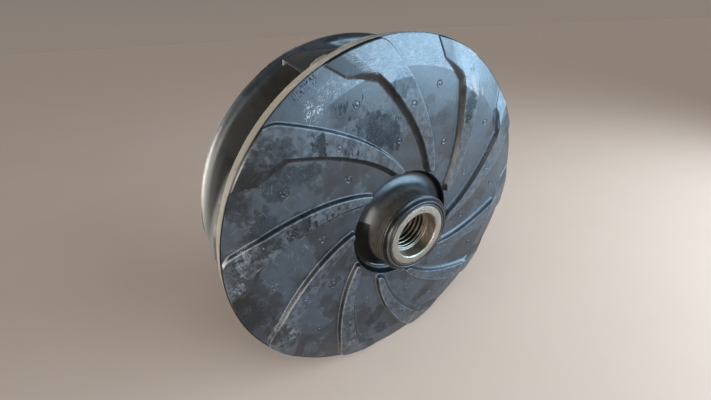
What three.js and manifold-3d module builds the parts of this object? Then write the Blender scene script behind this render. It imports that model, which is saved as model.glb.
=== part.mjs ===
// Closed slurry pump impeller, moulded in black rubber on a steel skeleton, with a threaded steel hub insert.
// Lengths are in millimetres and angles in degrees.
// The rotation axis is Y: the drive side and the hub face -Y, the inlet faces +Y, and +Z is up.
// It stands on the rims of its two shrouds. The origin is on the axis, halfway along the overall width.
// Angles are counted from +X towards +Z, so they rise anticlockwise for someone looking at the drive side.

import * as THREE from 'three';
import { mergeVertices } from 'three/addons/utils/BufferGeometryUtils.js';
import Module from 'manifold-3d';

const wasm = await Module();
wasm.setup();

// Driving sizes
const rimRadius = 343;
const overallWidth = 252;
const rimThickness = 23;
const passageWidth = 122.6;
const noseLength = 46.1;        // hub nose in front of the back shroud's face
const bevelRadius = 296;        // the shroud faces fall away towards the rim from here
const bevelDrop = 8.8;
const rimRound = 2.5;
const frontRimRound = 13;       // on the edge between the front shroud's rim and the passages
const joint = 0.3;              // left between solids that meet
const edge = 2;                 // bevel on the hub's edges
const rimFacets = 60;
const hubFacets = 40;
const insertFacets = 24;

// Planes across the axis, from the drive side to the inlet
const driveEnd = -overallWidth / 2;
const backFace = driveEnd + noseLength;
const backRimEdge = backFace + bevelDrop;
const backInner = backRimEdge + rimThickness;
const frontInner = backInner + passageWidth;
const frontRimEdge = frontInner + rimThickness;
const frontFace = frontRimEdge + bevelDrop;
const inletEnd = overallWidth / 2;

// Hub, from the axis outwards
const boreRadius = 47;
const insertRadius = 62.4;
const insertSetBack = 1.1;
const lipRadius = 73.7;
const lipGroove = 67.8;         // a fine groove runs round the lip
const lipGrooveDepth = 3;
const lipGrooveWidth = 3;
const bossRadius = 79.5;
const bossEnd = driveEnd + 13;
const collarRadius = 80;
const collarShoulder = driveEnd + 8;    // the collar is bevelled from here to its front
const collarFront = driveEnd + 5.5;
const neckRadius = 76.8;        // a narrow groove parts the collar from the boss
const neckLength = 2.5;
const flareRadius = 90;         // the boss widens to this at the pocket's floor
const flareRise = 26;
const pocketRadius = 115;
const pocketFloor = backInner - 13.4;
const pocketFillet = 4;
const insertEnd = backInner + 30;
const domeRadius = 110;
const domeHeight = 62;
const domeShape = 1.5;          // 1 would be a cone and 2 an ellipsoid

// Thread in the insert
const counterboreDepth = 24;
const threadPitch = 10.5;
const threadMinor = 39;
const threadMajor = 44;
const threadSteps = 12;
const threadRoot = 0.18;        // half widths of the groove, as shares of the pitch
const threadMouth = 0.36;
const threadLeadIn = 5;

// Inlet eye
const eyeRadius = 127;
const eyeRingRadius = 152;
const eyeLip = 8;
const throatRise = 14;          // the rounded inner edge of the eye
const throatRun = 25;

// Expelling vanes on the outer faces of both shrouds
const expellers = 10;
const expellerHeight = 10;
const expellerSweep = 40.5;     // degrees turned for each e-fold of radius
const expellerTrail = 23.6;     // clockwise foot at the rim
const expellerWidth = 11.8;     // angle between the two feet
const expellerTip = 341.5;
const expellerCorner = 14;      // round on the outer clockwise corner
const backExpellerNose = 117.5;
const frontExpellerNose = 155;
const expellerNoseRound = 12;
const expellerBevel = 282;
const expellerRimHeight = 5.6;
const trailDraft = 7.5;
const leadDraft = 4;
const flareStart = 281;         // the anticlockwise foot steps out between these radii
const flareEnd = 306;
const flareAngle = 6.8;
const flareHeight = 0.25;       // of the vane's height, at the flare's outer edge
const expellerColumns = 5;      // corners across each vane

// Pumping vanes between the shrouds
const pumpingVanes = 5;
const pumpingTip = 113.2;       // angle of the middle of the first vane at its tip
const pumpingTipRadius = 341;
const pumpingBend = 290;        // the vane lies flatter outside this radius
const pumpingBendLength = 30;
const pumpingInner = 156;
const innerSweep = 150;
const outerSweep = 203;
const pumpingThickness = 34;
const pumpingTipThickness = 11.4;
const pumpingDraft = 2.7;       // each side, from the middle of the passage to a shroud
const pumpingSteps = 18;
const pumpingNose = 0.35;       // share of the thickness left at the rounded inner end
const pumpingNoseLength = 0.12; // share of the vane's length that the inner end takes

const rubber = new THREE.MeshStandardMaterial({ color: 0x2b2f34, roughness: 0.45, metalness: 0 });
const steel = new THREE.MeshStandardMaterial({ color: 0x9a9284, roughness: 0.4, metalness: 1 });

const impeller = new THREE.Group();

function add(name, geometry, material) {
  const mesh = new THREE.Mesh(geometry, material);
  mesh.name = name;
  impeller.add(mesh);
}

// A closed surface from corners and triangles, with its faces turned outwards
function closedSurface(corners, triangles) {
  const [a, b, c] = [new THREE.Vector3(), new THREE.Vector3(), new THREE.Vector3()];
  let volume = 0;
  for (const [i, j, k] of triangles) {
    volume += a.copy(corners[i]).dot(b.copy(corners[j]).cross(c.copy(corners[k])));
  }
  const faces = volume > 0 ? triangles : triangles.map(([i, j, k]) => [i, k, j]);
  const geometry = new THREE.BufferGeometry().setFromPoints(corners);
  geometry.setIndex(faces.flat());
  return geometry;
}

// A ring or disc turned about Y from its [radius, y] profile, with a flat facet at the bottom
function turned(profile, facets) {
  const points = profile.map(([radius, y]) => new THREE.Vector2(radius, y));
  const onAxis = profile[0][0] === 0;
  if (!onAxis) {
    points.push(points[0].clone());
  }
  const geometry = new THREE.LatheGeometry(points, facets, Math.PI / facets);
  geometry.deleteAttribute('normal');
  geometry.deleteAttribute('uv');
  const merged = mergeVertices(geometry);
  const corners = [];
  const position = merged.getAttribute('position');
  for (let i = 0; i < position.count; i++) {
    corners.push(new THREE.Vector3().fromBufferAttribute(position, i));
  }
  const index = merged.getIndex().array;
  const triangles = [];
  for (let i = 0; i < index.length; i += 3) {
    const triangle = [index[i], index[i + 1], index[i + 2]];
    if (new Set(triangle).size === 3) {
      triangles.push(triangle);
    }
  }
  return closedSurface(corners, triangles);
}

// A slab between two grids of corners of the same size, closed by walls round its four sides
function slab(low, high) {
  const [rows, columns] = [low.length, low[0].length];
  const layer = rows * columns;
  const at = (row, column) => row * columns + column;
  const triangles = [];
  const quad = (a, b, c, d) => triangles.push([a, b, c], [a, c, d]);
  for (let row = 0; row + 1 < rows; row++) {
    for (let column = 0; column + 1 < columns; column++) {
      const ring = [at(row, column), at(row + 1, column), at(row + 1, column + 1), at(row, column + 1)];
      quad(...ring.map(corner => corner + layer));
      quad(...ring.reverse());
    }
  }
  const outline = [];
  for (let row = 0; row < rows; row++) {
    outline.push(at(row, 0));
  }
  for (let column = 1; column < columns; column++) {
    outline.push(at(rows - 1, column));
  }
  for (let row = rows - 2; row >= 0; row--) {
    outline.push(at(row, columns - 1));
  }
  for (let column = columns - 2; column > 0; column--) {
    outline.push(at(0, column));
  }
  outline.forEach((p, i) => {
    const q = outline[(i + 1) % outline.length];
    quad(q + layer, p + layer, p, q);
  });
  return closedSurface([...low.flat(), ...high.flat()], triangles);
}

function polar(radius, angle, y) {
  const turn = THREE.MathUtils.degToRad(angle);
  return new THREE.Vector3(radius * Math.cos(turn), y, radius * Math.sin(turn));
}

// Evenly spread values, both ends among them
function spread(from, to, count) {
  return Array.from({ length: count }, (_, i) => from + (to - from) * i / (count - 1));
}

function toAngle(length, radius) {
  return THREE.MathUtils.radToDeg(length / radius);
}

// How far a face has fallen towards the rim at a radius, where it falls by drop from start to the rim
function fall(radius, start, drop) {
  return radius > start ? drop * (radius - start) / (rimRadius - start) : 0;
}

// Half the width of an expelling vane at a radius, as a share of its full half width, for its round nose
function noseShare(radius, nose) {
  const along = Math.min(1, (radius - nose) / expellerNoseRound);
  return Math.sqrt(1 - (1 - along) ** 2);
}

// How far the outer clockwise corner of an expelling vane has turned in at a radius
function cornerTurn(radius) {
  const along = Math.max(0, radius - expellerTip + expellerCorner);
  return toAngle(expellerCorner - Math.sqrt(expellerCorner ** 2 - along ** 2), radius);
}

// Radii along an expelling vane: close together at its nose and its outer corner, and one at each bevel
function expellerStations(nose) {
  const round = [0.5, 3].map(step => nose + step);
  const body = spread(nose + expellerNoseRound, expellerBevel, 7);
  const flare = spread(bevelRadius, flareEnd, 3);
  const rim = spread(flareEnd, expellerTip - expellerCorner, 3).slice(1);
  const corner = [5, 1, 0].map(step => expellerTip - step);
  return [...round, ...body, ...flare, ...rim, ...corner];
}

// One expelling vane on the face at faceY, standing out along side (-1 drive, +1 inlet) from its nose radius
function expellingVane(index, faceY, side, nose) {
  const turn = index * 360 / expellers;
  const rimDrop = expellerHeight + bevelDrop - expellerRimHeight;
  const low = [];
  const high = [];
  for (const radius of expellerStations(nose)) {
    const share = noseShare(radius, nose);
    const half = expellerWidth / 2 * share;
    const middle = turn + expellerTrail + expellerWidth / 2 + expellerSweep * Math.log(radius / rimRadius);
    const start = middle - half + cornerTurn(radius);
    const end = middle + half;
    const flareTurn = flareAngle * THREE.MathUtils.smoothstep(radius, flareStart, flareEnd);
    const foot = faceY - side * (fall(radius, bevelRadius, bevelDrop) - joint);
    const top = faceY + side * (expellerHeight - fall(radius, expellerBevel, rimDrop));
    const ledge = THREE.MathUtils.lerp(foot, top, flareHeight);
    const topStart = start + toAngle(trailDraft, radius) * share;
    const topEnd = end - toAngle(leadDraft, radius) * share;
    const ledgeEnd = end + flareTurn - toAngle(leadDraft * flareHeight, radius) * share;
    const footPoints = spread(start, end + flareTurn, expellerColumns);
    const topPoints = spread(topStart, topEnd, expellerColumns - 1);
    low.push(footPoints.map(angle => polar(radius, angle, foot)));
    high.push([...topPoints.map(angle => polar(radius, angle, top)), polar(radius, ledgeEnd, ledge)]);
  }
  return slab(low, high);
}

// Where the middle of a pumping vane lies at a radius, back from its tip
function pumpingTurn(radius) {
  const outer = outerSweep * Math.log(Math.max(radius, pumpingBend) / pumpingTipRadius);
  const inner = innerSweep * Math.log(Math.min(radius, pumpingBend) / pumpingBend);
  return outer + inner;
}

// One pumping vane: a thick spiral wall from shroud to shroud, rounded at its inner end and thinner towards its
// tip, which the rim cuts off. Its sides have draft, so it is thickest at the back shroud.
function pumpingVane(index) {
  const turn = pumpingTip + index * 360 / pumpingVanes;
  const low = [];
  const high = [];
  for (const along of spread(0, 1, pumpingSteps)) {
    const radius = THREE.MathUtils.lerp(pumpingInner, pumpingTipRadius, along);
    const middle = turn + pumpingTurn(radius);
    const bend = pumpingBendLength / 2;
    const bent = THREE.MathUtils.smoothstep(radius, pumpingBend - bend, pumpingBend + bend);
    const sweep = THREE.MathUtils.lerp(innerSweep, outerSweep, bent);
    const slope = Math.cos(Math.atan(THREE.MathUtils.degToRad(sweep)));
    const share = THREE.MathUtils.lerp(pumpingNose, 1, Math.min(1, along / pumpingNoseLength));
    const half = THREE.MathUtils.lerp(pumpingThickness, pumpingTipThickness, along ** 3) / 2;
    const section = (reach, y) => {
      const run = toAngle(reach * share, radius) / slope;
      return spread(middle - run, middle + run, 3).map(angle => polar(radius, angle, y));
    };
    low.push(section(half + pumpingDraft, backInner + joint));
    high.push(section(half - pumpingDraft, frontInner - joint));
  }
  return slab(low, high);
}

function toManifold(geometry) {
  return new wasm.Manifold(new wasm.Mesh({
    numProp: 3,
    vertProperties: new Float32Array(geometry.getAttribute('position').array),
    triVerts: new Uint32Array(geometry.getIndex().array),
  }));
}

function fromManifold(manifold) {
  const mesh = manifold.getMesh();
  const geometry = new THREE.BufferGeometry();
  geometry.setAttribute('position', new THREE.BufferAttribute(new Float32Array(mesh.vertProperties), 3));
  geometry.setIndex(new THREE.BufferAttribute(new Uint32Array(mesh.triVerts), 1));
  return geometry;
}

// The winding groove between thread crests, as a right-hand helix from the counterbore inwards
function threadGroove(start, end) {
  const steps = Math.round((end - start) / threadPitch * threadSteps);
  const inside = threadMinor - 3;
  const low = [];
  const high = [];
  for (let i = 0; i <= steps; i++) {
    const angle = -360 * i / threadSteps;
    const y = start + threadPitch * i / threadSteps;
    const [root, mouth] = [threadPitch * threadRoot, threadPitch * threadMouth];
    low.push([polar(inside, angle, y - mouth), polar(threadMajor, angle, y - root)]);
    high.push([polar(inside, angle, y + mouth), polar(threadMajor, angle, y + root)]);
  }
  return slab(low, high);
}

// Steel insert: a plain counterbore and then a coarse thread to its inner end
function hubInsert() {
  const face = driveEnd + insertSetBack;
  const shoulder = face + counterboreDepth;
  const body = turned([
    [insertRadius, insertEnd], [insertRadius, face + 1], [insertRadius - 1, face],
    [boreRadius + edge, face], [boreRadius, face + edge], [boreRadius, shoulder],
    [threadMinor, shoulder + threadLeadIn], [threadMinor, insertEnd],
  ], insertFacets);
  const groove = threadGroove(shoulder - threadPitch, insertEnd + threadPitch);
  return fromManifold(toManifold(body).subtract(toManifold(groove)));
}

// The [radius, y] points of the inner hub's dome between two heights over the back shroud's inner face
function domeProfile(from, to, count) {
  return spread(from, to, count).map(height => {
    const share = (1 - (height / domeHeight) ** domeShape) ** (1 / domeShape);
    return [domeRadius * share, backInner + height];
  });
}

// The boss's flare, from the pocket's floor in to the boss's side, as a quarter of an ellipse
function flareProfile() {
  return spread(0, 90, 5).map(angle => {
    const turn = THREE.MathUtils.degToRad(angle);
    const radius = flareRadius - (flareRadius - bossRadius) * Math.sin(turn);
    return [radius, pocketFloor - joint - flareRise * (1 - Math.cos(turn))];
  });
}

// Shrouds
add('back_shroud', turned([
  [pocketRadius, backInner], [rimRadius - rimRound, backInner], [rimRadius, backInner - rimRound],
  [rimRadius, backRimEdge + rimRound], [rimRadius - rimRound, backRimEdge - rimRound / 5],
  [bevelRadius, backFace], [pocketRadius + edge, backFace], [pocketRadius, backFace + edge],
], rimFacets), rubber);

add('front_shroud', turned([
  [eyeRadius, frontFace - eyeLip], [eyeRadius + throatRun / 8, frontInner + throatRise],
  [eyeRadius + throatRun / 2.5, frontInner + throatRise / 2.5], [eyeRadius + throatRun, frontInner],
  [rimRadius - frontRimRound, frontInner], [rimRadius - frontRimRound / 3, frontInner + frontRimRound / 3],
  [rimRadius, frontInner + frontRimRound],
  [rimRadius, frontRimEdge - rimRound], [rimRadius - rimRound, frontRimEdge + rimRound / 5],
  [bevelRadius, frontFace], [eyeRadius, frontFace],
], rimFacets), rubber);

// Hub, from the pocket's floor to the steel face
add('pocket_floor', turned([
  [insertRadius + joint, backInner], [pocketRadius - joint, backInner],
  [pocketRadius - joint, pocketFloor - pocketFillet], [pocketRadius - edge, pocketFloor - edge / 2],
  [pocketRadius - pocketFillet, pocketFloor], [insertRadius + joint, pocketFloor],
], hubFacets), rubber);

add('hub_boss', turned([
  [insertRadius + joint, pocketFloor - joint], ...flareProfile(),
  [bossRadius, bossEnd + joint], [insertRadius + joint, bossEnd + joint],
], hubFacets), rubber);

add('hub_collar', turned([
  [lipRadius + joint, bossEnd], [neckRadius, bossEnd], [neckRadius, bossEnd - neckLength],
  [collarRadius, bossEnd - neckLength], [collarRadius, collarShoulder],
  [neckRadius, collarFront], [lipRadius + joint, collarFront],
], hubFacets), rubber);

add('nose_lip', turned([
  [insertRadius + joint, bossEnd], [lipRadius, bossEnd], [lipRadius, driveEnd + edge], [lipRadius - edge, driveEnd],
  [lipGroove + lipGrooveWidth / 2, driveEnd], [lipGroove, driveEnd + lipGrooveDepth],
  [lipGroove - lipGrooveWidth / 2, driveEnd],
  [insertRadius + edge, driveEnd], [insertRadius + joint, driveEnd + edge],
], hubFacets), rubber);

add('hub_insert', hubInsert(), steel);

add('inner_hub_base', turned([
  ...domeProfile(joint, insertEnd - backInner, 5),
  [insertRadius + joint, insertEnd], [insertRadius + joint, backInner + joint],
], hubFacets), rubber);

add('inner_hub_dome', turned([
  [0, insertEnd + joint], ...domeProfile(insertEnd - backInner + joint, domeHeight - 1, 6),
  [0, backInner + domeHeight],
], hubFacets), rubber);

add('inlet_ring', turned([
  [eyeRadius, frontFace + joint], [eyeRingRadius, frontFace + joint],
  [eyeRingRadius - edge, inletEnd - 2 * edge], [eyeRingRadius - 2 * edge, inletEnd],
  [eyeRadius + 2 * edge, inletEnd], [eyeRadius, inletEnd - 2 * edge],
], rimFacets), rubber);

for (let i = 0; i < pumpingVanes; i++) {
  add(`pumping_vane_${i + 1}`, pumpingVane(i), rubber);
}

for (let i = 0; i < expellers; i++) {
  const number = String(i + 1).padStart(2, '0');
  add(`back_expelling_vane_${number}`, expellingVane(i, backFace, -1, backExpellerNose), rubber);
}

for (let i = 0; i < expellers; i++) {
  const number = String(i + 1).padStart(2, '0');
  add(`front_expelling_vane_${number}`, expellingVane(i, frontFace, 1, frontExpellerNose), rubber);
}

export default impeller;
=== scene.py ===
"""A worn rubber impeller of a slurry pump, standing on its rims on a pale floor.

Lengths are in metres. The rotation axis is Y, the hub faces -Y and +Z is up. Angles are in degrees, counted
from +X towards +Z, so they rise anticlockwise for someone looking at the hub. A spiral angle is the angle at
which the spiral through a point reaches the rim.
"""
import math

import bpy
import numpy as np
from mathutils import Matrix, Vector


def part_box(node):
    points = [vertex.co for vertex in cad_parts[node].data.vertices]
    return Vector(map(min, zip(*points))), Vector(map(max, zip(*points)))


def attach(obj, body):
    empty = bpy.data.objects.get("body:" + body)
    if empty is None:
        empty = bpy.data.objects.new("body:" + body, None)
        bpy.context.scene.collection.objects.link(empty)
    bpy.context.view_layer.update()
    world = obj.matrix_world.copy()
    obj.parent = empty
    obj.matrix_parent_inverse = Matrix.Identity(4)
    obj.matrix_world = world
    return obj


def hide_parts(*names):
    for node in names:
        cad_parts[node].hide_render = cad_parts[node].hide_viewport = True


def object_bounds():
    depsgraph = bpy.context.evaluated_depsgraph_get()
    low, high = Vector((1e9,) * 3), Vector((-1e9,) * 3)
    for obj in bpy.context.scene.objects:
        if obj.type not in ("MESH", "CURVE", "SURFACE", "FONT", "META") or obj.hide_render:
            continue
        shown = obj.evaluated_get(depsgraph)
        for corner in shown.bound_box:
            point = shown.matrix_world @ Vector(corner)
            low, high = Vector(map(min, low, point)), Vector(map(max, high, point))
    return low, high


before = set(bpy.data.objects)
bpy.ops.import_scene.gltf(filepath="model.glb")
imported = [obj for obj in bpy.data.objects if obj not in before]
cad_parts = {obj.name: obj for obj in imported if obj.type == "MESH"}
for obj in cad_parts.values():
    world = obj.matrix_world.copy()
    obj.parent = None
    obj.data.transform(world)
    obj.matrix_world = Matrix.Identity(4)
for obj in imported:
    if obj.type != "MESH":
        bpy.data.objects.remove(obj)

CAD_LOW, CAD_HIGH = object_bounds()

# Planes and radii from the frame
RIM = CAD_HIGH.z
DRIVE_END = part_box("nose_lip")[0].y
BACK_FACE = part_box("back_shroud")[0].y
BACK_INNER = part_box("back_shroud")[1].y
FRONT_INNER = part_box("front_shroud")[0].y
FRONT_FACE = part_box("front_shroud")[1].y
INLET_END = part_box("inlet_ring")[1].y
STEEL_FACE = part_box("hub_insert")[0].y
INSERT_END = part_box("hub_insert")[1].y
POCKET_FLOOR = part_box("pocket_floor")[0].y

# Shroud faces: flat as far as the bevel, then falling away to the rim
BEVEL = 0.296
BEVEL_DROP = 0.0088
BACK_RIM_EDGE = BACK_FACE + BEVEL_DROP
FRONT_RIM_EDGE = FRONT_FACE - BEVEL_DROP
EDGE_ROUND = 0.001
BACK_RIM_ROUND = 0.002        # between each rim and the passages
FRONT_RIM_ROUND = 0.013
POCKET = 0.1152               # radius of the pocket's wall at the face, and at its foot
POCKET_FOOT = 0.1115
POCKET_EDGE = 0.0015          # the round between that wall and the face
POCKET_FILLET = 0.0078
EYE = 0.127
EYE_RING = 0.152
EYE_FLARE = 0.025             # how far the eye's inner edge widens into the passages
EYE_FLARE_DEPTH = 0.012

# Hub
BOSS = 0.0795                 # radius of its straight side
BOSS_FLARE = 0.029            # the hollow curve between the pocket's floor and the boss's side
BOSS_FLARE_TURN = 15          # degrees into that curve where the pocket's fillet begins
STEEL_RADIUS = 0.0624
BORE = 0.047
SHOULDER = STEEL_FACE + 0.024
THREAD_MINOR = 0.041
THREAD_MAJOR = 0.0455
THREAD_PITCH = 0.0105

# Expelling vanes on both outer faces
VANES = 10
SECTOR = 360 / VANES
SWEEP = 40.5                  # degrees turned for each e-fold of radius
SPIRAL = 1 / math.hypot(1, math.radians(SWEEP))    # width across a vane for each unit of arc
FOOT_CLOCKWISE = 24.5         # spiral angle of each foot
FOOT_ANTICLOCKWISE = 36.2
VANE_HEIGHT = 0.010
VANE_RIM_HEIGHT = 0.0056
VANE_BEVEL = 0.282
CLOCKWISE_RUN = 0.0048        # width of each side wall with its fillets
ANTICLOCKWISE_RUN = 0.0055
SKIRT = 0.0060                # how far the anticlockwise wall's hollow foot reaches into the channel
CORNER_ROUND = 0.015
END_WALL_TOP = RIM - 0.0035   # the vanes end in a short wall just inside the rim
END_WALL_FOOT = RIM - 0.0012
BACK_NOSE = 0.1175
FRONT_NOSE = 0.155

# The facet by which each vane's anticlockwise foot steps out near the rim
FLARE_START = 0.281           # it steps out between these radii
FLARE_END = 0.3055
FLARE = 6.6                   # degrees that it steps out
FLARE_EDGE = 0.25             # height left at its outer edge, as a share of the vane's
FLARE_LAP = 0.001             # where it starts inside the vane's edge
FLARE_SPILL = 0.4             # degrees past its outer edge where it meets the channel
FLARE_FALL = 0.003            # width over which it falls there
FLARE_WALL = 0.0225

# Pumping vanes between the shrouds
PUMPING_VANES = 5
PUMPING_TIP = 113.2           # angle of the first one's tip
PUMPING_TIP_RADIUS = 0.341
PUMPING_BEND = 0.290          # radius where the sweep changes
PUMPING_BEND_LENGTH = 0.030
PUMPING_INNER = 0.156
PUMPING_NOSE = 0.12           # share of its length over which the inner end narrows
INNER_SWEEP = 150             # degrees turned for each e-fold of radius, before the bend and after it
OUTER_SWEEP = 203
PUMPING_THICKNESS = 0.034
PUMPING_TIP_THICKNESS = 0.0114
PUMPING_DRAFT = 0.0027        # each side, from the middle of the passage to a shroud
PUMPING_FILLET = 0.009

TURNED_SEGMENTS = 180         # round the hub, the inner hub and the steel insert


def ramp(x, foot=0.35, top=0.2):
    """A slope from 0 at x = 0 to 1 at x = 1, its foot and its top rounded over those shares of its width."""
    x = np.clip(x, 0, 1)
    slope = 1 / (1 - foot / 2 - top / 2)
    rising = slope * x * x / (2 * foot)
    middle = slope * (x - foot / 2)
    topping = 1 - slope * (1 - x) ** 2 / (2 * top)
    return np.where(x < foot, rising, np.where(x > 1 - top, topping, middle))


def fine_line(distance, width):
    """1 at a distance of 0, fading within about a width on both sides."""
    return np.exp(-(distance / width) ** 2)


def fall(radius, start, drop):
    """How far a face has fallen at a radius, where it falls by drop from start to the rim."""
    return drop * np.clip((radius - start) / (RIM - start), 0, None)


def degrees_of(length, radius):
    """The spiral angle that a distance across a vane takes up at a radius."""
    return np.degrees(length / (radius * SPIRAL))


def corner_turn(radius):
    """How far the rounded outer clockwise corner of a vane has turned in at a radius."""
    along = np.clip(radius - RIM + CORNER_ROUND, 0, CORNER_ROUND)
    return degrees_of(CORNER_ROUND - np.sqrt(CORNER_ROUND ** 2 - along ** 2), radius)


def foot_flare(radius, phi):
    """How much of a vane's height the facet at its anticlockwise foot has at a radius and spiral angles."""
    crest = FOOT_ANTICLOCKWISE - degrees_of(FLARE_LAP, radius)
    outer = FOOT_ANTICLOCKWISE + FLARE
    facet = 1 - (1 - FLARE_EDGE) * np.clip((phi - crest) / (outer - crest), 0, 1)
    edge = ramp(np.radians(outer + FLARE_SPILL - phi) * radius * SPIRAL / FLARE_FALL)
    foot = FLARE_START + (phi - FOOT_ANTICLOCKWISE) / FLARE * (FLARE_END - FLARE_START)
    wall = ramp((radius - foot) / FLARE_WALL, 0.25, 0.06)
    return np.minimum(facet * edge, wall)


def vane_share(radius, phi, nose):
    """How much of a vane's height stands at a radius and spiral angles, and how strong the light lines along
    its edges are there, wear and painted highlight.
    """
    start = FOOT_CLOCKWISE + corner_turn(radius)
    middle = (FOOT_ANTICLOCKWISE + start) / 2
    half = np.radians(FOOT_ANTICLOCKWISE - start) / 2 * radius * SPIRAL
    across = np.radians(phi - middle) * radius * SPIRAL
    nose_half = math.radians(FOOT_ANTICLOCKWISE - FOOT_CLOCKWISE) / 2
    nose_centre = nose / (1 - nose_half * SPIRAL ** 2)
    before_nose = np.clip((nose_centre - radius) / SPIRAL, 0, None)

    # From the clockwise wall, lean 0, to the anticlockwise one, lean 1, which has a long hollow foot
    lean = np.clip(0.5 + across / half, 0, 1)
    run = CLOCKWISE_RUN + (ANTICLOCKWISE_RUN + SKIRT - CLOCKWISE_RUN) * lean
    inside = half - np.hypot(across, before_nose) + SKIRT * lean
    foot_round = 0.25 + 0.55 * lean
    top_round = 0.45 - 0.33 * lean
    body = ramp(inside / run, foot_round, top_round)
    flare = np.where(phi > middle, foot_flare(radius, phi), 0)

    # Light lines at each wall's foot and top, strongest on the clockwise wall: wear and painted highlight
    foot_line = 0.95 * fine_line(inside - 0.0003, 0.0007)
    top_line = fine_line(inside - run + 0.0005, 0.0008)
    worn = np.where(flare > body, 0, (foot_line + top_line) * (1 - 0.75 * lean))
    end = ramp((END_WALL_FOOT - radius) / (END_WALL_FOOT - END_WALL_TOP), 0.2, 0.3)
    return np.maximum(body, flare) * end, worn * end


def spiral_columns(radius):
    """Spiral angles of one sector's grid columns at a radius: close together on the walls of its vane."""
    # Millimetres inside each foot of the vane
    clockwise = [-2, -0.6, 0, 0.5, 1.0, 1.5, 2.0, 2.6, 3.2, 3.8, 4.3, 4.8, 5.4, 7]
    anticlockwise = [7.0, 5.8, 5.3, 4.8, 4.3, 3.7, 3, 2.2, 1.5, 0.8, 0]
    start = FOOT_CLOCKWISE + float(corner_turn(radius))
    up = [start + float(degrees_of(d / 1000, radius)) for d in clockwise]
    down = [FOOT_ANTICLOCKWISE - float(degrees_of(d / 1000, radius)) for d in anticlockwise]
    top = np.linspace(up[-1], down[0], 7)[1:-1]
    outer = FOOT_ANTICLOCKWISE + FLARE
    flare = np.linspace(FOOT_ANTICLOCKWISE, outer - 0.5, 14)[1:]
    edge = [outer - 0.2, outer, outer + 0.2, outer + 0.4, outer + 0.7]
    channel = np.linspace(edge[-1], up[0] + SECTOR, 8)[1:-1]
    return np.array([*up, *top, *down, *flare, *edge, *channel])


def face_radii(nose, inner):
    """Radii of the grid rows on an outer face: closest together at the noses, the creases and the rim."""
    crisp = 0.0006
    stops = [
        # first radius, distance between rows from there on
        (inner, 0.001), (nose + 0.015, 0.0035), (0.276, 0.0014),
        (VANE_BEVEL - crisp, crisp), (VANE_BEVEL + crisp, 0.0014),
        (BEVEL - crisp, crisp), (BEVEL + crisp, 0.0014), (END_WALL_TOP - crisp, 0.0003),
    ]
    last = RIM - EDGE_ROUND
    ends = [start for start, _ in stops[1:]] + [last]
    radii = []
    for (start, step), end in zip(stops, ends, strict=True):
        radii.extend(np.linspace(start, end, round((end - start) / step) + 1)[:-1])
    return [*radii, last]


def mesh_object(name, points, faces, **layers):
    """A smooth-shaded mesh object from corner and face lists, with a number at each corner for each layer."""
    mesh = bpy.data.meshes.new(name)
    mesh.from_pydata(points, [], faces)
    mesh.shade_smooth()
    for key, values in layers.items():
        mesh.attributes.new(key, "FLOAT", "POINT").data.foreach_set("value", np.ravel(values))
    made = bpy.data.objects.new(name, mesh)
    bpy.context.scene.collection.objects.link(made)
    return made


def grid_object(name, grid, **layers):
    """A mesh object over a grid of points, rows by columns, each row closed to a ring."""
    rows, columns = grid.shape[:2]
    low, left = np.meshgrid(np.arange(rows - 1), np.arange(columns), indexing="ij")
    high, right = low + 1, (left + 1) % columns
    corners = [low * columns + left, low * columns + right, high * columns + right, high * columns + left]
    faces = np.stack(corners, axis=-1).reshape(-1, 4)
    return mesh_object(name, grid.reshape(-1, 3).tolist(), faces.tolist(), **layers)


def turned(name, profile, relief=0):
    """A mesh object turned about Y from (radius, y) points, whose radii gain a relief of rows by segments."""
    radius, y = np.array(profile).T
    angle = np.radians(np.arange(TURNED_SEGMENTS) * 360 / TURNED_SEGMENTS)
    reach = radius[:, None] + np.broadcast_to(relief, (len(radius), TURNED_SEGMENTS))
    level = np.broadcast_to(y[:, None], reach.shape)
    return grid_object(name, np.stack([reach * np.cos(angle), level, reach * np.sin(angle)], axis=-1))


def quarter_curve(corner, sizes, turns):
    """(radius, y) points, at these degrees, on the quarter curve of two signed sizes that rounds a corner."""
    return [
        (corner[0] + sizes[0] * (1 - math.sin(turn)), corner[1] + sizes[1] * (1 - math.cos(turn)))
        for turn in np.radians(turns)
    ]


def bend(start, corner, end, steps):
    """Points on the curve from start to end that is drawn towards a corner."""
    return [
        (1 - t) ** 2 * start + 2 * t * (1 - t) * corner + t ** 2 * end
        for t in np.linspace(0, 1, steps + 1)
    ]


def rounded(profile, sizes):
    """A (radius, y) profile with each inner corner rounded by its size."""
    points = [np.array(p, float) for p in profile]
    out = [points[0]]
    for before, corner, after, size in zip(points, points[1:], points[2:], sizes, strict=False):
        start = corner + (before - corner) * min(0.5, size / np.linalg.norm(before - corner))
        end = corner + (after - corner) * min(0.5, size / np.linalg.norm(after - corner))
        out.extend(bend(start, corner, end, 4))
    out.append(points[-1])
    return out


def rim_profile(outer, inner, inner_round):
    """(radius, y) points round a rim, from its outer edge to the edge that it shares with the passages."""
    inward = 1 if inner > outer else -1
    flat = inner - inward * inner_round - outer
    outer_edge = quarter_curve((RIM, outer), (-EDGE_ROUND, inward * EDGE_ROUND), (30, 60, 90))
    middle = [(RIM, outer + flat * share) for share in (0.25, 0.5, 0.75)]
    inner_edge = quarter_curve((RIM, inner), (-inner_round, -inward * inner_round), np.linspace(90, 0, 9))
    return outer_edge + middle + inner_edge


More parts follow.
